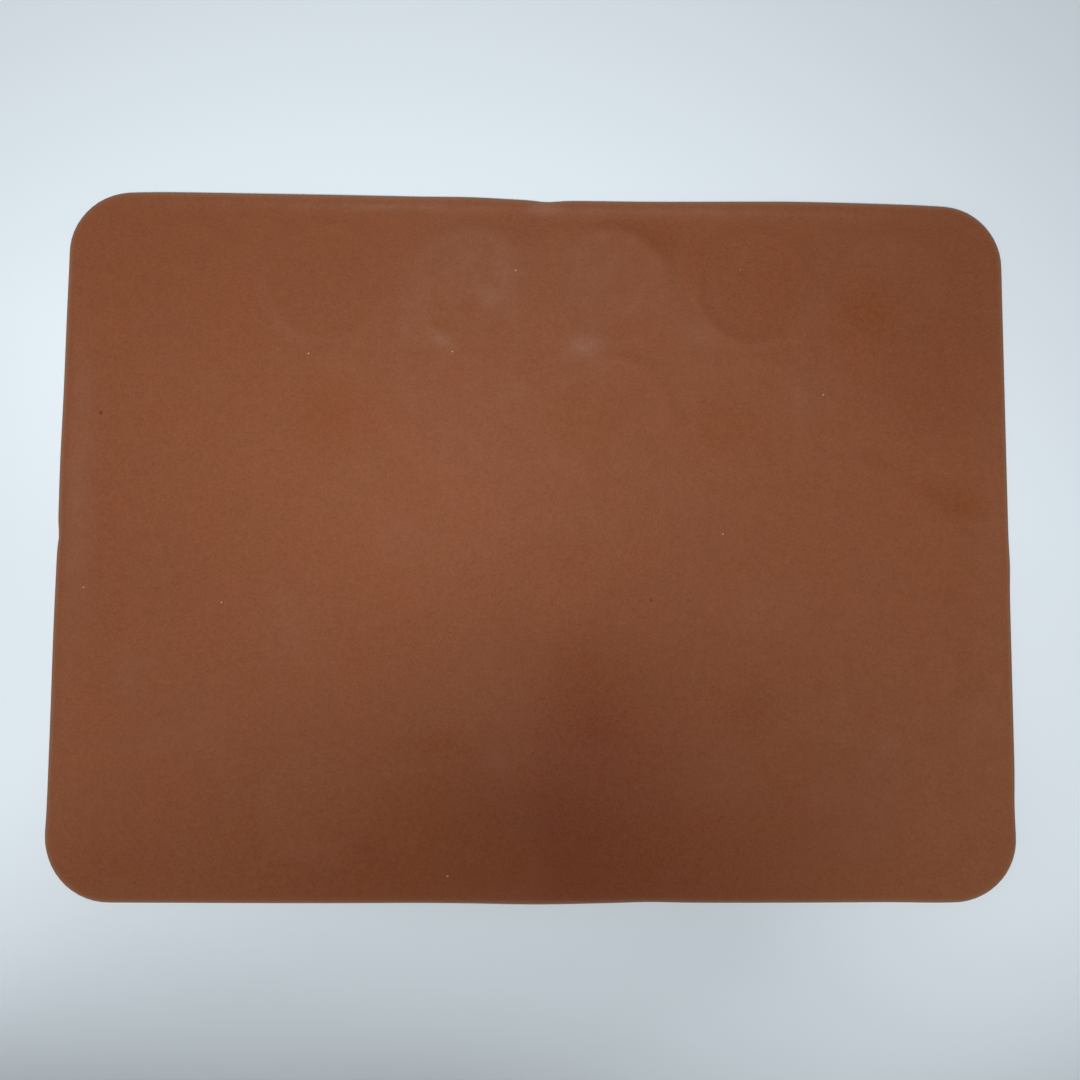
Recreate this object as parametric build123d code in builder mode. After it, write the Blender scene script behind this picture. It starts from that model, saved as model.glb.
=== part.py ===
"""A silicone baking mat for round shells of batter, moulded in one piece.

It lies as it does on a table with its smooth back up. The side underneath carries
a low rim and rows of paired rings: the outer ring of a pair stops the batter, and
the lower one inside it shows how much to pipe.
"""

import os

from build123d import *

# Outline of the mat, seen from above
mat_length = 385.0
mat_width = 285.0
corner_radius = 26.0

# Thickness of the plain sheet, and the rounding along the edge of its smooth back
sheet_thickness = 1.2
back_rounding = 0.8

# Rim and outer rings, which stand on the table, and the inner rings, which don't
rim_width = 4.0
outer_ring_height = 1.8
inner_ring_height = 1.2

# Rings, to the middle of their crowns
outer_ring_radius = 23.25
inner_ring_radius = 14.5
crown_width = 1.2

# From the mat's edges to the nearest outer rings, along it and across it
side_margin = 23.6
end_margin = 13.2

# Flat sides that draw each ring, short enough to pass for a circle
outer_ring_sides = 30
inner_ring_sides = 24

# Slope of the moulded walls, which lets the mat out of its mould
draft_angle = 15.0

# As many rings as fit at least a rim's width apart, spread evenly
least_pitch = 2 * outer_ring_radius + rim_width
column_run = mat_length - 2 * (side_margin + outer_ring_radius)
row_run = mat_width - 2 * (end_margin + outer_ring_radius)
columns = 1 + int(column_run // least_pitch)
rows = 1 + int(row_run // least_pitch)
column_pitch = column_run / (columns - 1)
row_pitch = row_run / (rows - 1)

os.makedirs("parts", exist_ok=True)


# One ring of each size, standing on its crown, with a wider root under the sheet
rings = []
for ring_radius, ring_height, ring_sides in (
    (outer_ring_radius, outer_ring_height, outer_ring_sides),
    (inner_ring_radius, inner_ring_height, inner_ring_sides),
):
    crown_plane = Plane.XY.offset(outer_ring_height - ring_height)
    with BuildPart() as ring:
        with BuildSketch(crown_plane):
            RegularPolygon(ring_radius + crown_width / 2, ring_sides)
            RegularPolygon(ring_radius - crown_width / 2, ring_sides, mode=Mode.SUBTRACT)
        extrude(amount=ring_height)
        draft(ring.faces().filter_by(Axis.Z, reverse=True), crown_plane, -draft_angle)
    rings.append(ring.part)


with BuildPart() as baking_mat:
    # Slab with the mat's outline, rounded along the edge of its smooth back
    with BuildSketch() as outline:
        RectangleRounded(mat_length, mat_width, corner_radius)
    extrude(amount=outer_ring_height + sheet_thickness)
    fillet(baking_mat.faces().sort_by(Axis.Z)[-1].edges(), back_rounding)

    # Hollow underneath, which leaves the sheet and its sloping rim
    with BuildSketch():
        add(outline.sketch)
        offset(amount=-rim_width, mode=Mode.REPLACE)
    extrude(amount=outer_ring_height, taper=draft_angle, mode=Mode.SUBTRACT)

    # Rows of paired rings
    with GridLocations(column_pitch, row_pitch, columns, rows):
        add(rings)

baking_mat.part.label = "baking_mat"
export_step(baking_mat.part, "parts/baking_mat.step")

print("rings", columns, "x", rows, "at", round(column_pitch, 2), "x", round(row_pitch, 2), "mm")
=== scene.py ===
import bmesh
import bpy
import numpy as np
from mathutils import Matrix, Vector


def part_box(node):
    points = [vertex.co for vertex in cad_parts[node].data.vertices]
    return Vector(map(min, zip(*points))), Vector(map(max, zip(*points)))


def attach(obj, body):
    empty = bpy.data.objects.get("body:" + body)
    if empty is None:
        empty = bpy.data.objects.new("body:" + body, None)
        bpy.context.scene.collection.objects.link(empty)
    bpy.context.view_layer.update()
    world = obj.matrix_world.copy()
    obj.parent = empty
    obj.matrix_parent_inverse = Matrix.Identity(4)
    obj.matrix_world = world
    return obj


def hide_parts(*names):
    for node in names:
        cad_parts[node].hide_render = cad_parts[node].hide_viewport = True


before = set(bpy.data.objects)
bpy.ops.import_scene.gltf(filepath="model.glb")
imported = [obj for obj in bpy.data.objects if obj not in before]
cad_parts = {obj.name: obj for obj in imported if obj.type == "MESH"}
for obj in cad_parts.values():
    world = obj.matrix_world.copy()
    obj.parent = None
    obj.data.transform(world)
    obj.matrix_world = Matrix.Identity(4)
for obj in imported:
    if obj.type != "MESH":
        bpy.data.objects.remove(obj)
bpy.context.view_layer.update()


# The baking mat is one moulding of brown silicone rubber: a thin sheet with a smooth
# back, and on the side that lies on the table a low rim and thirty pairs of rings. It
# is pressed in a two-part mould, and so soft that it sags between what holds it up.

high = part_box("baking_mat")[1]
half_length = high.x
half_width = high.y
thickness = high.z
corner_radius = 0.026

ring_columns = 6
ring_rows = 5
column_pitch = 0.05826
row_pitch = 0.05302
sheet_underside = 0.0018
outer_ring_radius = 0.02325
inner_ring_radius = 0.0145
inner_ring_foot = 0.0006
patch_steps = 18

# The section of a ring, from its middle: how far out, and how far up its wall
wall_reach = np.array([0.0004, 0.0006, 0.0012])
wall_rise_shares = np.array([0.0, 0.08, 1.0])


def ring_section(radius, foot):
    """Radii and heights across one ring: its two walls mirrored about its middle."""
    out = radius + np.concatenate([-wall_reach[::-1], wall_reach])
    rise_shares = np.concatenate([wall_rise_shares[::-1], wall_rise_shares])
    return out, foot + (sheet_underside - foot) * rise_shares


def walk_rectangle(half_x, half_y, steps_x, steps_y):
    """Points round a rectangle, counter-clockwise from its lower left corner, evenly
    spaced along each side."""
    go_x = np.linspace(-half_x, half_x, steps_x, endpoint=False)
    go_y = np.linspace(-half_y, half_y, steps_y, endpoint=False)
    x = np.concatenate([go_x, np.full(steps_y, half_x), -go_x, np.full(steps_y, -half_x)])
    y = np.concatenate([np.full(steps_x, -half_y), go_y, np.full(steps_x, half_y), -go_y])
    return np.stack([x, y], 1)


def walk_outline(block_x, block_y, steps_x, steps_y):
    """Points round the mat's outline, and the directions out of it. Each side is a
    straight stretch with part of a rounded corner at either end, up to where the block
    of patches points its own corner, and is walked in steps of equal length."""
    corner_x = half_length - corner_radius
    corner_y = half_width - corner_radius
    lean = np.arctan2(block_x - corner_x, block_y - corner_y)
    points = []
    outward = []
    for half_run, half_across, corner_turn, steps, along, across in (
        (half_length, half_width, lean, steps_x, (1, 0), (0, -1)),
        (half_width, half_length, np.pi / 2 - lean, steps_y, (0, 1), (1, 0)),
        (half_length, half_width, lean, steps_x, (-1, 0), (0, 1)),
        (half_width, half_length, np.pi / 2 - lean, steps_y, (0, -1), (-1, 0)),
    ):
        straight = half_run - corner_radius
        half_total = straight + corner_radius * corner_turn
        run = np.linspace(-half_total, half_total, steps, endpoint=False)
        turn = np.clip(np.abs(run) - straight, 0, None) / corner_radius
        side = np.sign(run)
        u = side * (np.minimum(np.abs(run), straight) + corner_radius * np.sin(turn))
        v = half_across - corner_radius * (1 - np.cos(turn))
        points.append(np.outer(u, along) + np.outer(v, across))
        outward.append(np.outer(side * np.sin(turn), along) + np.outer(np.cos(turn), across))
    return np.concatenate(points), np.concatenate(outward)


def patch(radii, heights, rim_height):
    """One ring's patch of sheet as closed loops of points: circles of the given radii
    and heights, a loop half way out, and the patch's own rectangle."""
    edge = walk_rectangle(column_pitch / 2, row_pitch / 2, patch_steps, patch_steps)
    rays = edge / np.linalg.norm(edge, axis=1, keepdims=True)
    flat = [rays * radius for radius in radii]
    flat.append((flat[-1] + edge) / 2)
    flat.append(edge)
    heights = np.append(heights, [rim_height, rim_height])
    up = np.repeat(heights[:, None, None], len(edge), 1)
    return np.concatenate([np.array(flat), up], 2)


def bands(loops, points, shift):
    """Four-sided faces between each loop of points and the next one."""
    start = np.arange(loops - 1)[:, None] * points
    here = np.arange(points)[None, :]
    after = (here + 1) % points
    corners = [start + here, start + after, start + points + after, start + points + here]
    return np.stack(corners, 2).reshape(-1, 4) + shift


outer_out, outer_up = ring_section(outer_ring_radius, 0.0)
inner_out, inner_up = ring_section(inner_ring_radius, inner_ring_foot)
disc_radii = np.array([0.0, 0.0045, 0.0090, 0.0125])
gap_radii = np.array([0.0165, 0.0190, 0.0212])
under_radii = np.concatenate([disc_radii, inner_out, gap_radii, outer_out])
under_heights = np.concatenate([
    np.full(len(disc_radii), sheet_underside), inner_up,
    np.full(len(gap_radii), sheet_underside), outer_up,
])
under_patch = patch(under_radii, under_heights, sheet_underside)

back_radii = np.array([
    0.0, 0.0035, 0.0070, 0.0100, 0.0125, 0.0150, 0.0170, 0.0188, 0.0202, 0.0214, 0.0224,
    0.0233, 0.0242, 0.0252,
])
back_patch = patch(back_radii, np.full(len(back_radii), thickness), thickness)

columns = (np.arange(ring_columns) - (ring_columns - 1) / 2) * column_pitch
rows = (np.arange(ring_rows) - (ring_rows - 1) / 2) * row_pitch
centres = np.stack(np.meshgrid(columns, rows), 2).reshape(-1, 2)

# The border, from the patches under the sheet out over the rim and back in on top: how far
# inside the outline each loop runs, how high, and how much it takes of the pale edge colour,
# which is moulding flash with the painted sheen of the rounded edge
border_insets = np.array([
    0.0055, 0.0046, 0.0040, 0.0036, 0.0018, 0.0003, 0.0000, 0.0001, 0.0005, 0.0006,
    0.0008, 0.0011, 0.0015, 0.0022, 0.0030, 0.0040, 0.0048, 0.0056, 0.0068, 0.0084,
])
border_heights = np.array([
    0.00180, 0.00165, 0.00015, 0.0, 0.0, 0.0, 0.00008, 0.00026, 0.00030, 0.00225,
    0.00270, 0.00290, 0.00300, 0.00300, 0.00300, 0.00300, 0.00300, 0.00300, 0.00300,
    0.00300,
])
flash_and_sheen_shares = np.array([
    0.0, 0.0, 0.0, 0.0, 0.2, 0.5, 0.7, 0.8, 0.8, 0.80,
    0.85, 0.75, 0.42, 0.14, 0.03, 0.0, 0.0, 0.0, 0.0, 0.0,
])

# Where the outline leaves its true shape: a place on it, how far along it the change
# reaches, and how far it is pushed out
outline_changes = (
    (-0.150, 0.1425, 0.030, 0.00020),
    (-0.085, 0.1425, 0.055, 0.00015),
    (-0.030, 0.1425, 0.015, 0.00035),
    (0.002, 0.1425, 0.0055, -0.00070),
    (0.002, 0.1425, 0.020, -0.00035),
    (0.040, 0.1425, 0.025, -0.00035),
    (0.125, 0.1425, 0.040, 0.00055),
    (0.000, -0.1425, 0.026, 0.00060),
    (0.045, -0.1425, 0.010, -0.00030),
    (-0.085, -0.1425, 0.070, 0.00040),
    (0.085, -0.1425, 0.070, 0.00040),
    (-0.1925, 0.030, 0.020, 0.00030),
    (-0.1925, 0.001, 0.004, -0.00055),
    (-0.1925, 0.112, 0.012, -0.00015),
    (0.1925, -0.008, 0.008, 0.00035),
    (0.1925, -0.104, 0.009, -0.00040),
    (-0.168, 0.1415, 0.008, -0.00025),
    (0.168, 0.1415, 0.008, -0.00025),
    (-0.1925, -0.116, 0.006, 0.00025),
    (0.1925, -0.115, 0.008, -0.00015),
    (0.160, -0.1425, 0.012, 0.00030),
    (-0.1925, -0.035, 0.028, 0.00025),
    (0.100, 0.1425, 0.022, 0.00020),
)
change_depth = 0.012

steps_x = ring_columns * patch_steps
steps_y = ring_rows * patch_steps
block_x = ring_columns * column_pitch / 2
block_y = ring_rows * row_pitch / 2
inner_edge = walk_rectangle(block_x, block_y, steps_x, steps_y)
outline, outward = walk_outline(block_x, block_y, steps_x, steps_y)
push = np.zeros(len(outline))
for place_x, place_y, reach, distance in outline_changes:
    away = np.hypot(outline[:, 0] - place_x, outline[:, 1] - place_y)
    push += distance * np.exp(-(away / reach) ** 2)
keep_shares = np.clip(1 - border_insets / change_depth, 0, 1)
moved = outward * (push[:, None] * keep_shares[:, None, None] - border_insets[:, None, None])
border_flat = np.concatenate([inner_edge[None], outline + moved, inner_edge[None]])
border_heights = np.concatenate([[sheet_underside], border_heights, [thickness]])
border_up = np.repeat(border_heights[:, None, None], len(outline), 1)
border = np.concatenate([border_flat, border_up], 2)

points = []
faces = []
middle = np.zeros((1, 2))
for loops, places in ((under_patch, centres), (back_patch, centres), (border, middle)):
    for place in places:
        faces.append(bands(loops.shape[0], loops.shape[1], sum(len(p) for p in points)))
        points.append((loops + np.append(place, 0.0)).reshape(-1, 3))
flash_and_sheen = np.zeros(sum(len(p) for p in points))
rim_flash_and_sheen = np.repeat(np.concatenate([[0.0], flash_and_sheen_shares, [0.0]]), border.shape[1])
flash_and_sheen[-len(rim_flash_and_sheen):] = rim_flash_and_sheen
points = np.concatenate(points)
faces = np.concatenate(faces)

# How the soft sheet lies: it hangs a little lower wherever no ring or rim holds it up,
# its far edge lifts between the folds it was stored in, and its near edge at the fold
support_reach = 0.0030
rim_width = 0.0040
edge_lift = 0.0010
lift_depth = 0.016
near_lift = 0.0006
near_lift_reach = 0.030

# How far it sags: everywhere a little, and more where it wasn't stroked flat, as a
# place, half sizes, a turn and a depth. The narrow ones are what is left of the folds.
even_sag = 0.00010
slack_spots = (
    (-0.040, 0.124, 0.070, 0.036, 0, 0.00020),
    (0.040, 0.118, 0.040, 0.036, 0, 0.00034),
    (0.095, 0.108, 0.050, 0.040, 0, 0.00036),
    (0.048, 0.066, 0.030, 0.020, 0, 0.00028),
    (-0.090, -0.112, 0.055, 0.026, 0, 0.00030),
    (0.146, -0.062, 0.030, 0.026, 0, 0.00020),
    (0.000, 0.118, 0.0050, 0.024, 0, 0.00022),
    (-0.0005, -0.090, 0.0035, 0.050, 6, 0.00016),
)


def edge_distance(x, y):
    """How far inside the mat's rounded outline a point lies."""
    beyond_x = np.abs(x) - (half_length - corner_radius)
    beyond_y = np.abs(y) - (half_width - corner_radius)
    outside = np.hypot(np.clip(beyond_x, 0, None), np.clip(beyond_y, 0, None))
    return corner_radius - outside - np.minimum(np.maximum(beyond_x, beyond_y), 0)


def soft_spots(spots, x, y):
    """The sum of oval bell-shaped spots, each with a place, half sizes, a turn in degrees
    and a height."""
    total = np.zeros(len(x))
    for place_x, place_y, half_x, half_y, turn, peak in spots:
        turned = ((x - place_x) + 1j * (y - place_y)) * np.exp(-1j * np.radians(turn))
        total += peak * np.exp(-(turned.real / half_x) ** 2 - (turned.imag / half_y) ** 2)
    return total


def lie(x, y):
    """Height that the soft sheet adds or loses at a place. Support is one on the rim and
    on each ring's crown and fades with the square of the distance from them, and the
    sheet sags by what is left unsupported."""
    from_rim = np.clip(edge_distance(x, y) - rim_width, 0, None)
    unheld = 1 - np.exp(-(from_rim / support_reach) ** 2)
    for centre_x, centre_y in centres:
        from_ring = np.hypot(x - centre_x, y - centre_y) - outer_ring_radius
        unheld *= 1 - np.exp(-(from_ring / support_reach) ** 2)
    halves = np.abs(np.sin(np.pi * x / half_length))
    lift = edge_lift * halves * np.exp(-np.clip(half_width - y, 0, None) / lift_depth)
    lift += near_lift * np.exp(-(x / near_lift_reach) ** 2 - (half_width + y) / lift_depth)
    return lift - (even_sag + soft_spots(slack_spots, x, y)) * unheld


points[:, 2] = np.maximum(points[:, 2] + lie(points[:, 0], points[:, 1]), 0.0)

mesh = bpy.data.meshes.new("baking_mat_surface")
mesh.from_pydata(points.tolist(), [], faces.tolist())
flash_and_sheen_data = mesh.attributes.new("flash_and_sheen", "FLOAT", "POINT").data
flash_and_sheen_data.foreach_set("value", flash_and_sheen.astype(np.float32))
shell = bmesh.new()
shell.from_mesh(mesh)
bmesh.ops.remove_doubles(shell, verts=shell.verts, dist=1e-6)
bmesh.ops.recalc_face_normals(shell, faces=shell.faces)
shell.to_mesh(mesh)
shell.free()
mesh.polygons.foreach_set("use_smooth", np.ones(len(mesh.polygons), bool))
mat = bpy.data.objects.new("baking_mat_surface", mesh)
bpy.context.scene.collection.objects.link(mat)

# Marks on the back, each with two strengths: how much thicker or thinner the pale film of
# dusty bloom and painted sheen is there, and how much darker it is with oil and painted
# shade. The first are soft smudges, as a place, half sizes and a turn in degrees. Most are
# bloom and oil, some paint the shadow over the near side, and the last of them lie along
# the rim and paint the sheen and shade of its slopes. Then come whole ring discs by column
# and row, and crescents outside a disc, in a direction, which paint light and shade of
# the rings' relief.
marks_and_painted_light = (
    (0, 0.06, 0.12, 0.06, 0, 0.17, 0.00),
    (-0.1, 0, 0.06, 0.06, 0, -0.06, 0.00),
    # The next two paint the shadow that falls over the near middle
    (0, -0.125, 0.11, 0.04, 0, -0.28, 0.12),
    (0.02, -0.11, 0.045, 0.04, 0, 0.08, 0.37),
    (-0.045, -0.12, 0.04, 0.022, 0, -0.07, 0.00),
    (0.15, 0.09, 0.05, 0.04, 0, -0.09, 0.17),
    (-0.15, 0.09, 0.05, 0.05, 0, -0.06, 0.09),
    (0.15, -0.1, 0.05, 0.05, 0, 0.23, 0.00),
    (-0.15, -0.11, 0.05, 0.035, 0, -0.06, 0.00),
    (0.07, -0.095, 0.02, 0.018, 0, 0.16, 0.00),
    (-0.06, -0.04, 0.04, 0.03, 0, -0.10, 0.00),
    (0.03, -0.06, 0.028, 0.026, 0, -0.10, 0.13),
    (-0.0422, 0.119, 0.005, 0.006, 0, 0.12, 0.00),
    (-0.051, 0.103, 0.007, 0.008, 0, 0.20, 0.00),
    (-0.053, 0.09, 0.005, 0.008, 0, 0.23, 0.00),
    (-0.0198, 0.101, 0.005, 0.0045, 0, 0.40, 0.00),
    (-0.016, 0.108, 0.005, 0.011, 0, 0.28, 0.00),
    (-0.03, 0.097, 0.005, 0.0045, 0, -0.22, 0.00),
    (-0.019, 0.089, 0.008, 0.003, 0, -0.14, 0.00),
    (-0.0107, 0.0945, 0.003, 0.003, 0, 0.08, 0.00),
    (-0.041, 0.0826, 0.005, 0.0026, -30, 0.85, 0.00),
    (-0.005, 0.117, 0.004, 0.013, 0, 0.08, 0.00),
    (0.041, 0.103, 0.0022, 0.007, -25, 0.43, 0.00),
    (0.035, 0.089, 0.008, 0.004, 0, -0.19, 0.00),
    (0.048, 0.11, 0.0035, 0.005, 0, 0.12, 0.06),
    (0.017, 0.08, 0.0075, 0.005, 0, 0.72, 0.00),
    (0.05, 0.125, 0.013, 0.007, -20, -0.13, 0.27),
    (0.02, 0.118, 0.014, 0.01, 0, 0.14, 0.00),
    (0.066, 0.084, 0.007, 0.005, -40, 0.15, 0.00),
    (0.135, 0.097, 0.012, 0.01, 0, -0.13, 0.00),
    (0.14, 0.119, 0.019, 0.007, 0, 0.14, 0.00),
    (0.162, 0.108, 0.006, 0.011, 0, 0.10, 0.00),
    (0.111, 0.099, 0.009, 0.009, 0, 0.09, 0.00),
    (0.089, 0.12, 0.009, 0.005, 0, 0.12, 0.00),
    (0.064, 0.087, 0.008, 0.006, 0, 0.04, 0.00),
    # Oil along the near edge: painted shadow
    (-0.09, -0.134, 0.045, 0.008, 0, 0.00, 0.16),
    (-0.166, -0.128, 0.02, 0.01, 0, -0.05, 0.16),
    (0.03, -0.135, 0.06, 0.008, 0, 0.00, 0.12),
    (-0.085, 0.051, 0.016, 0.014, 0, -0.23, 0.00),
    (0.018, 0.05, 0.02, 0.013, 0, -0.20, 0.00),
    (0.076, 0.048, 0.016, 0.012, 0, -0.19, 0.00),
    (0.046, 0.066, 0.003, 0.012, 35, -0.16, 0.00),
    (0.005, 0.034, 0.005, 0.005, 0, 0.19, 0.00),
    (-0.059, 0.002, 0.01, 0.01, 0, 0.15, 0.00),
    (0.107, 0.059, 0.01, 0.009, 0, 0.12, 0.00),
    (0.17, 0.0175, 0.012, 0.005, -22, -0.28, 0.20),
    (0.136, 0.035, 0.007, 0.0036, -25, -0.12, 0.14),
    (0.152, 0.027, 0.009, 0.003, -25, 0.00, 0.08),
    (0.16, 0.06, 0.016, 0.014, 0, -0.03, 0.18),
    (0.09, -0.024, 0.013, 0.009, 0, 0.18, 0.00),
    (-0.011, -0.035, 0.008, 0.018, 0, -0.06, 0.09),
    (-0.015, -0.087, 0.007, 0.005, 0, 0.20, 0.00),
    (-0.038, -0.081, 0.016, 0.006, 0, -0.15, 0.06),
    (0.025, -0.074, 0.01, 0.011, 0, -0.09, 0.13),
    (0.016, -0.05, 0.014, 0.022, 0, -0.12, 0.11),
    (0.01, -0.005, 0.014, 0.008, 0, -0.10, 0.09),
    (0.035, -0.02, 0.012, 0.006, 0, -0.03, 0.12),
    (0.085, -0.067, 0.01, 0.01, 0, -0.15, 0.14),
    (0.145, -0.083, 0.012, 0.007, 0, 0.15, 0.00),
    (0.113, -0.099, 0.006, 0.006, 0, 0.31, 0.00),
    (-0.055, -0.091, 0.01, 0.003, 15, 0.14, 0.00),
    (-0.066, -0.122, 0.008, 0.005, -40, 0.00, 0.24),
    (-0.116, -0.123, 0.009, 0.005, 30, 0.00, 0.10),
    (-0.092, -0.121, 0.016, 0.004, 0, 0.09, 0.00),
    (-0.145, -0.08, 0.02, 0.008, 0, 0.12, 0.00),
    (-0.161, -0.055, 0.006, 0.008, 0, 0.16, 0.00),
    (-0.099, -0.031, 0.014, 0.014, 0, 0.21, 0.00),
    # Bloom on the side rims' bands: painted sheen of their slopes
    (0.182, -0.03, 0.004, 0.06, 0, 0.22, 0.03),
    (-0.184, 0.02, 0.004, 0.06, 0, 0.35, 0.00),
    (-0.031, 0.112, 0.018, 0.015, 0, 0.12, 0.00),
    # Along the rim: the bloom paints the sheen of its slopes, and the oil paints the shade
    # just inside it
    (-0.060, 0.1375, 0.080, 0.0018, 0, 0.36, 0.00),
    (0.070, 0.1375, 0.080, 0.0018, 0, 0.34, 0.00),
    (0.001, 0.1378, 0.006, 0.0035, 0, 0.80, 0.00),
    (0.066, 0.1375, 0.010, 0.0020, 0, 0.25, 0.00),
    (-0.060, 0.1378, 0.008, 0.0016, 0, 0.20, 0.00),
    (-0.1878, 0.010, 0.0020, 0.075, 0, 0.15, 0.00),
    (0.1878, -0.010, 0.0018, 0.090, 0, 0.10, 0.00),
    (-0.006, 0.1310, 0.009, 0.0060, 0, 0.00, 0.15),
    (0.035, 0.1315, 0.025, 0.0035, 0, 0.00, 0.08),
    (-0.1897, 0.000, 0.0008, 0.120, 0, 0.00, 0.20),
)
# The disc tones are partly bloom and partly painted sheen and shade of the sheet's sag over
# each ring. The crescents outside them are a painted highlight and painted shade of the rings'
# relief.
discs_bloom_and_shade = (
    (2, 4, 0.11, 0.00), (3, 4, 0.10, 0.00), (4, 4, -0.08, 0.12), (0, 0, 0.03, 0.06),
    (1, 0, 0.07, 0.00), (1, 4, -0.04, 0.05),
)
painted_rim_crescents = (
    (1, 4, 225, 0.28, 0.00), (1, 4, 270, -0.06, 0.00), (4, 4, 180, -0.15, 0.07),
    (4, 4, 225, 0.10, 0.00), (4, 4, 270, -0.09, 0.00), (4, 4, 315, 0.09, 0.00),
    (5, 4, 180, -0.04, 0.09), (3, 4, 0, 0.10, 0.00), (3, 4, 60, -0.08, 0.00),
)
disc_edge = 0.0008
crescent_edge = 0.0004
crescent_radius = 0.0260
crescent_width = 0.0026

# The old fold, from its far end to the mat's edge: painted shade lies along its right side and
# a painted highlight along its left
fold_start = (-0.0050, -0.045)
fold_slope = -0.10
fold_edge = 0.0010
fold_reach = 0.028
fold_end = -0.062
fold_end_edge = 0.005
fold_shade = 0.14
fold_highlight = 0.06
coordinates = np.zeros(len(mesh.vertices) * 3, np.float32)
mesh.vertices.foreach_get("co", coordinates)
x, y = coordinates.reshape(-1, 3).T.astype(float)[:2]


def step(distance, edge):
    """A soft step from one to zero as a distance goes from negative to positive."""
    return (1 - np.tanh(distance / edge / 2)) / 2


bloom_and_sheen = soft_spots([mark[:6] for mark in marks_and_painted_light], x, y)
oil_and_shade = soft_spots([mark[:5] + mark[6:] for mark in marks_and_painted_light], x, y)
for column, row, thicker, darker in discs_bloom_and_shade:
    away = np.hypot(x - columns[column], y - rows[row])
    inside = step(away - outer_ring_radius, disc_edge)
    bloom_and_sheen += thicker * inside
    oil_and_shade += darker * inside
for column, row, direction, thicker, darker in painted_rim_crescents:
    away = np.hypot(x - columns[column], y - rows[row])
    facing = np.cos(np.arctan2(y - rows[row], x - columns[column]) - np.radians(direction))
    crescent = np.exp(-((away - crescent_radius) / crescent_width) ** 2)
    crescent *= np.clip(facing, 0, None) ** 2 * step(outer_ring_radius - away, crescent_edge)
    bloom_and_sheen += thicker * crescent
    oil_and_shade += darker * crescent
from_fold = x - fold_start[0] - fold_slope * (y - fold_start[1])
near_fold = step(y - fold_end, fold_end_edge) * np.exp(-(from_fold / fold_reach) ** 2)
oil_and_shade += fold_shade * near_fold * step(-from_fold, fold_edge)
bloom_and_sheen += fold_highlight * near_fold * step(from_fold, fold_edge)
for name, values in (("bloom_and_sheen", bloom_and_sheen), ("oil_and_shade", oil_and_shade)):
    mark_data = mesh.attributes.new(name, "FLOAT", "POINT").data
    mark_data.foreach_set("value", values.astype(np.float32))


def linear(hex_colour):
    """The linear colour of an sRGB hex value, with alpha one."""
    parts = [int(hex_colour[i:i + 2], 16) / 255 for i in (1, 3, 5)]
    bent = [p / 12.92 if p <= 0.04045 else ((p + 0.055) / 1.055) ** 2.4 for p in parts]
    return (*bent, 1.0)


def add(tree, kind, inputs, **settings):
    """Adds a node, gives it its settings, and fills its inputs with values or links."""
    node = tree.nodes.new(kind)
    for name, value in settings.items():
        setattr(node, name, value)
    for name, value in inputs.items():
        if isinstance(value, bpy.types.NodeSocket):
            tree.links.new(value, node.inputs[name])
        else:
            node.inputs[name].default_value = value
    return node


# Moulded silicone rubber, pigmented milk-chocolate brown. The mould's fine blasting
# leaves the skin matte, and use leaves a pale dusty bloom on it in soft patches.
silicone_brown = linear("#7F4727")
silicone_orange = linear("#82482A")
# The oiled brown is oil stains and also painted shade, where the oil strength stands for shade
oil_and_shade_brown = linear("#70331C")
# The bloom colour is the dusty bloom and also painted sheen
bloom_and_sheen_colour = linear("#B29C92")
# The pale edge colour is moulding flash and painted sheen of the rounded edge
flash_and_sheen_colour = linear("#8E705C")
silicone = bpy.data.materials.new("moulded_silicone_rubber")
silicone.use_nodes = True
tree = silicone.node_tree
surface = tree.nodes["Principled BSDF"]
place = add(tree, "ShaderNodeTexCoord", {}).outputs["Object"]

# Four sizes of unevenness: patches, clouds, mottling, and the skin's grain, which is
# under a tenth of a millimetre and is drawn at 0.8 mm to show
noises = [
    add(tree, "ShaderNodeTexNoise", {"Vector": place, "Scale": 1 / size, "Detail": detail})
    for size, detail in ((0.028, 3.0), (0.009, 3.0), (0.0034, 2.0), (0.0008, 2.0))
]
patches, clouds, mottle, grain = [noise.outputs["Fac"] for noise in noises]
warm = add(
    tree, "ShaderNodeMapRange",
    {"Value": patches, "From Min": 0.50, "From Max": 0.70, "To Max": 0.7},
)
brown = add(
    tree, "ShaderNodeMix",
    {0: warm.outputs["Result"], 6: silicone_brown, 7: silicone_orange},
    data_type="RGBA",
)
tone = 1.0
for noise, swing in ((mottle, 0.05), (grain, 0.14), (clouds, 0.045)):
    lightness = add(
        tree, "ShaderNodeMapRange",
        {"Value": noise, "To Min": 1 - swing, "To Max": 1 + swing},
    )
    product = add(
        tree, "ShaderNodeMath",
        {0: tone, 1: lightness.outputs["Result"]},
        operation="MULTIPLY",
    )
    tone = product.outputs[0]
# Oil stains and painted shade darken the brown
oil_and_shade_share = add(tree, "ShaderNodeAttribute", {}, attribute_name="oil_and_shade").outputs["Fac"]
stained = add(
    tree, "ShaderNodeMix",
    {0: oil_and_shade_share, 6: brown.outputs[2], 7: oil_and_shade_brown},
    data_type="RGBA",
)
grained = add(
    tree, "ShaderNodeHueSaturation",
    {"Value": tone, "Color": stained.outputs[2]},
)

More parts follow.
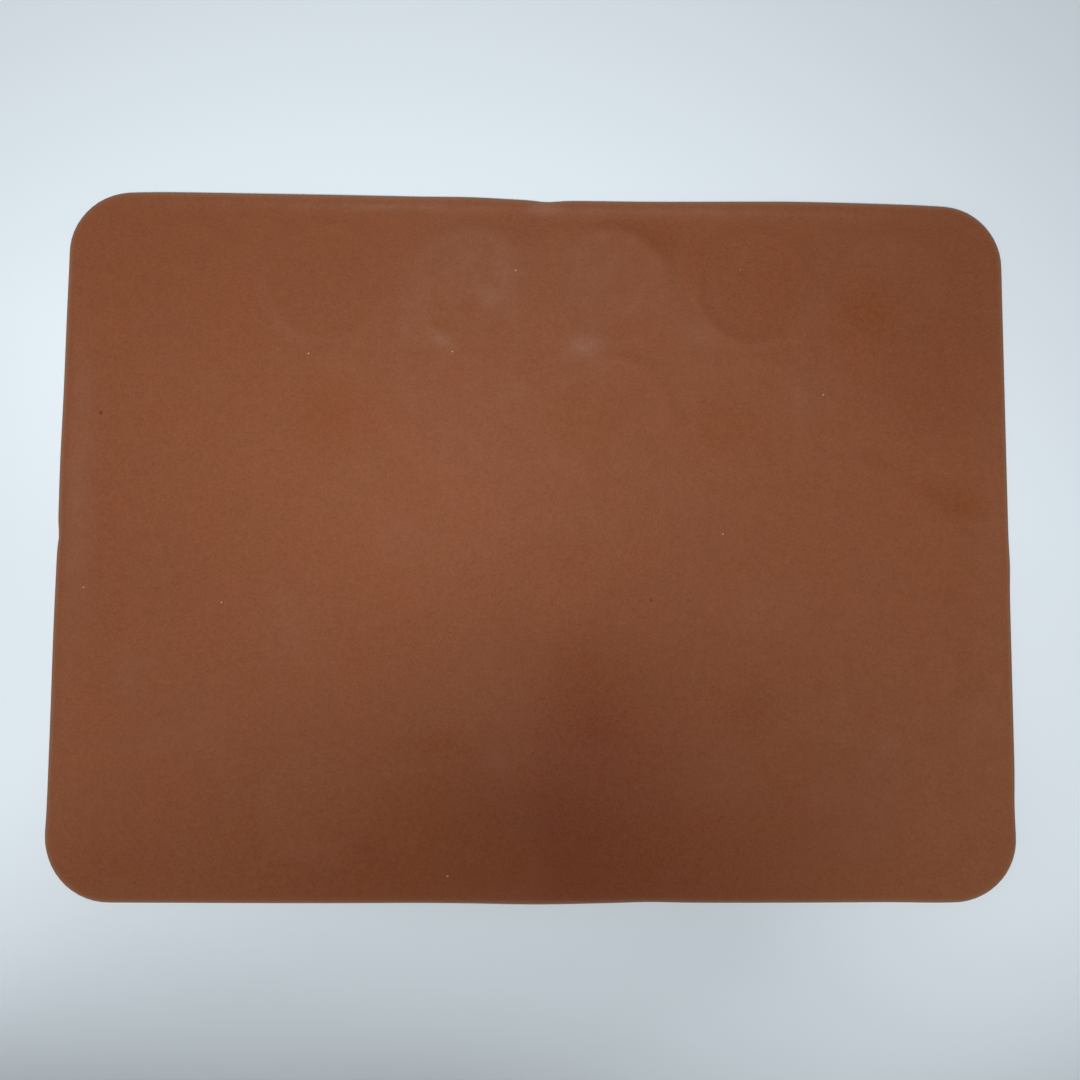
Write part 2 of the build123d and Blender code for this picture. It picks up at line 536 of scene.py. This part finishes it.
# Bloom and painted sheen: a thin pale film everywhere, which paints part of the sheen along
# with the dusty bloom, with the smudges added. Clouds vary the smudges, patches the whole
# film, and mottling and grain catch a little more or less of it.
spots = add(tree, "ShaderNodeAttribute", {}, attribute_name="bloom_and_sheen").outputs["Fac"]
even_film = 0.045
film_step = 0.12
cloud_swing = 0.4
patch_swing = 0.4
mottle_catch = 0.011
grain_catch = 0.050
smudged = add(
    tree, "ShaderNodeMapRange",
    {
        "Value": clouds, "From Min": 0.3, "From Max": 0.7,
        "To Min": film_step * (1 - cloud_swing), "To Max": film_step * (1 + cloud_swing),
    },
)
broken = add(
    tree, "ShaderNodeMapRange",
    {"Value": patches, "To Min": 1 + patch_swing, "To Max": 1 - patch_swing},
)
caught = add(
    tree, "ShaderNodeMapRange",
    {"Value": mottle, "To Min": -mottle_catch, "To Max": mottle_catch},
)
speckled = add(
    tree, "ShaderNodeMapRange",
    {"Value": grain, "To Min": -grain_catch, "To Max": grain_catch},
)
film = add(
    tree, "ShaderNodeMath",
    {0: spots, 1: smudged.outputs["Result"], 2: even_film},
    operation="MULTIPLY_ADD",
)
film = add(
    tree, "ShaderNodeMath",
    {0: film.outputs[0], 1: broken.outputs["Result"], 2: caught.outputs["Result"]},
    operation="MULTIPLY_ADD",
)
film = add(
    tree, "ShaderNodeMath",
    {0: film.outputs[0], 1: speckled.outputs["Result"]},
    operation="ADD",
    use_clamp=True,
)
film_over_brown = add(
    tree, "ShaderNodeMix",
    {0: film.outputs[0], 6: grained.outputs["Color"], 7: bloom_and_sheen_colour},
    data_type="RGBA",
)

# A few specks of flour and burnt crumb, each with its place and how far it reaches
pale_specks = (
    (0.0825, 0.1137, 0.00045), (-0.0941, 0.0759, 0.00045), (-0.0104, 0.1118, 0.00045),
    (-0.0351, -0.1318, 0.00045), (0.1162, 0.0616, 0.0004), (-0.0359, 0.0775, 0.0004),
    (-0.1807, -0.0195, 0.0004), (0.0744, 0.0039, 0.0004), (-0.1263, -0.0251, 0.0004),
)
dark_specks = ((0.0453, -0.0231, 0.0008), (-0.1766, 0.0506, 0.0010))
speck_height = 0.0029
speck_cover = 0.6
flour = linear("#D8C2B0")
burnt_crumb = linear("#3C2014")
dotted = film_over_brown.outputs[2]
for specks, speck_colour in ((pale_specks, flour), (dark_specks, burnt_crumb)):
    for speck_x, speck_y, reach in specks:
        away = add(
            tree, "ShaderNodeVectorMath",
            {0: place, 1: (speck_x, speck_y, speck_height)},
            operation="DISTANCE",
        )
        share = add(
            tree, "ShaderNodeMapRange",
            {
                "Value": away.outputs["Value"], "From Min": reach / 3, "From Max": reach,
                "To Min": speck_cover, "To Max": 0.0,
            },
        )
        dot = add(
            tree, "ShaderNodeMix",
            {0: share.outputs["Result"], 6: dotted, 7: speck_colour},
            data_type="RGBA",
        )
        dotted = dot.outputs[2]

# The edge is pale moulding flash, painted paler with the sheen that its rounded edge catches
flash_and_sheen_share = add(tree, "ShaderNodeAttribute", {}, attribute_name="flash_and_sheen").outputs["Fac"]
edged = add(
    tree, "ShaderNodeMix",
    {0: flash_and_sheen_share, 6: dotted, 7: flash_and_sheen_colour},
    data_type="RGBA",
)

grain_depth = 0.00002
bump = add(
    tree, "ShaderNodeBump",
    {"Height": grain, "Distance": grain_depth, "Strength": 0.6},
)
tree.links.new(edged.outputs[2], surface.inputs["Base Color"])
tree.links.new(bump.outputs["Normal"], surface.inputs["Normal"])
surface.inputs["IOR"].default_value = 1.41
surface.inputs["Roughness"].default_value = 0.62
surface.inputs["Specular IOR Level"].default_value = 0.10
mesh.materials.append(silicone)

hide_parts("baking_mat")
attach(mat, "root")


# The floor is a plain pale board, painted matte in a cool off-white. Some way beyond
# the mat it fades into the backdrop, so that no view shows an edge or a dark distance.
floor_half = 4.0
fade_middle = (0.0, 0.0125, 0.0)
fade_start = (0.235, 0.2225, 0.0)
fade_reach = 0.07
backdrop_colour = linear("#E4ECF0")
floor_mesh = bpy.data.meshes.new("floor")
turns = ((-1, -1), (1, -1), (1, 1), (-1, 1))
floor_corners = [(sx * floor_half, sy * floor_half, 0.0) for sx, sy in turns]
floor_mesh.from_pydata(floor_corners, [], [(0, 1, 2, 3)])
floor = bpy.data.objects.new("floor", floor_mesh)
bpy.context.scene.collection.objects.link(floor)
paint = bpy.data.materials.new("matte_board_paint")
paint.use_nodes = True
tree = paint.node_tree
paint_surface = tree.nodes["Principled BSDF"]
paint_surface.inputs["Base Color"].default_value = linear("#E7F2F9")
paint_surface.inputs["Roughness"].default_value = 0.7
paint_surface.inputs["Specular IOR Level"].default_value = 0.2
place = add(tree, "ShaderNodeTexCoord", {}).outputs["Object"]
beside = add(tree, "ShaderNodeVectorMath", {0: place, 1: fade_middle}, operation="SUBTRACT")
beside = add(tree, "ShaderNodeVectorMath", {0: beside.outputs[0]}, operation="ABSOLUTE")
beyond = add(
    tree, "ShaderNodeVectorMath",
    {0: beside.outputs[0], 1: fade_start},
    operation="SUBTRACT",
)
beyond = add(
    tree, "ShaderNodeVectorMath",
    {0: beyond.outputs[0], 1: (0.0, 0.0, 0.0)},
    operation="MAXIMUM",
)
far = add(tree, "ShaderNodeVectorMath", {0: beyond.outputs[0]}, operation="LENGTH")
faded = add(
    tree, "ShaderNodeMapRange",
    {"Value": far.outputs["Value"], "From Max": fade_reach},
    interpolation_type="SMOOTHSTEP",
)
seen = add(tree, "ShaderNodeLightPath", {}).outputs["Is Camera Ray"]
seen_fade = add(
    tree, "ShaderNodeMath",
    {0: faded.outputs["Result"], 1: seen},
    operation="MULTIPLY",
)
glow = add(tree, "ShaderNodeEmission", {"Color": backdrop_colour, "Strength": 1.0})
both = add(
    tree, "ShaderNodeMixShader",
    {0: seen_fade.outputs[0], 1: paint_surface.outputs[0], 2: glow.outputs[0]},
)
tree.links.new(both.outputs[0], tree.nodes["Material Output"].inputs["Surface"])
floor_mesh.materials.append(paint)


# The light is one soft lamp overhead, nearer and to the left of the mat's middle, and a
# weak even sky. Three dark cards out of view take both off the near side of the mat.
lamp_place = Vector((-0.0981, -0.1545, 0.6346))
lamp_size = 0.10
lamp_power = 4.30
sky_level = 0.178
cards = (
    ("middle_card", 0.422, ((-0.0453, -0.1170), (-0.1767, -0.2190), (-0.0090, -0.1315))),
    ("corner_card", 0.478, ((-0.1487, -0.1296), (-0.1492, -0.1560), (0.0487, -0.2055))),
    (
        "near_card", 0.391,
        ((-0.4, -0.1665), (-0.4, -0.2400), (0.4, -0.2400), (0.4, -0.1490), (-0.0380, -0.1925)),
    ),
)

lamp_data = bpy.data.lights.new("soft_lamp", "AREA")
lamp_data.shape = "SQUARE"
lamp_data.size = lamp_size
lamp_data.energy = lamp_power
lamp = bpy.data.objects.new("soft_lamp", lamp_data)
lamp_turn = lamp_place.to_track_quat("Z", "Y").to_matrix().to_4x4()
lamp.matrix_world = Matrix.Translation(lamp_place) @ lamp_turn
bpy.context.scene.collection.objects.link(lamp)

black_felt = bpy.data.materials.new("black_felt")
black_felt.use_nodes = True
felt_surface = black_felt.node_tree.nodes["Principled BSDF"]
felt_surface.inputs["Base Color"].default_value = linear("#202020")
felt_surface.inputs["Roughness"].default_value = 1.0
for card_name, card_height, card_corners in cards:
    card_mesh = bpy.data.meshes.new(card_name)
    raised = [(cx, cy, card_height) for cx, cy in card_corners]
    card_mesh.from_pydata(raised, [], [range(len(raised))])
    card_mesh.materials.append(black_felt)
    card = bpy.data.objects.new(card_name, card_mesh)
    card.visible_camera = False
    bpy.context.scene.collection.objects.link(card)

world = bpy.data.worlds.new("sky")
bpy.context.scene.world = world
world.use_nodes = True
sky = world.node_tree
sky_light = sky.nodes["Background"]
sky_light.inputs["Color"].default_value = (1.0, 1.0, 1.0, 1.0)
sky_light.inputs["Strength"].default_value = sky_level
backdrop = add(sky, "ShaderNodeBackground", {"Color": backdrop_colour, "Strength": 1.0})
seen = add(sky, "ShaderNodeLightPath", {}).outputs["Is Camera Ray"]
both = add(
    sky, "ShaderNodeMixShader",
    {0: seen, 1: sky_light.outputs[0], 2: backdrop.outputs[0]},
)
sky.links.new(both.outputs[0], sky.nodes["World Output"].inputs["Surface"])


# The camera looks almost straight down from a little nearer than the mat's middle.
camera_place = Vector((-0.0103, -0.0279, 0.4063))
camera_aim = Vector((0.0004, 0.0010, 0.0010))
camera_up = Vector((-0.00864, 0.99744, 0.07095))
focal_share = 1004 / 1080

camera_data = bpy.data.cameras.new("camera")
camera_data.sensor_width = 36.0
camera_data.lens = camera_data.sensor_width * focal_share
camera_data.clip_start = 0.01
camera = bpy.data.objects.new("camera", camera_data)
back = (camera_place - camera_aim).normalized()
right = camera_up.cross(back).normalized()
turned = Matrix((right, back.cross(right), back)).transposed().to_4x4()
camera.matrix_world = Matrix.Translation(camera_place) @ turned
bpy.context.scene.collection.objects.link(camera)
bpy.context.scene.camera = camera

bpy.context.scene.view_settings.view_transform = "Standard"
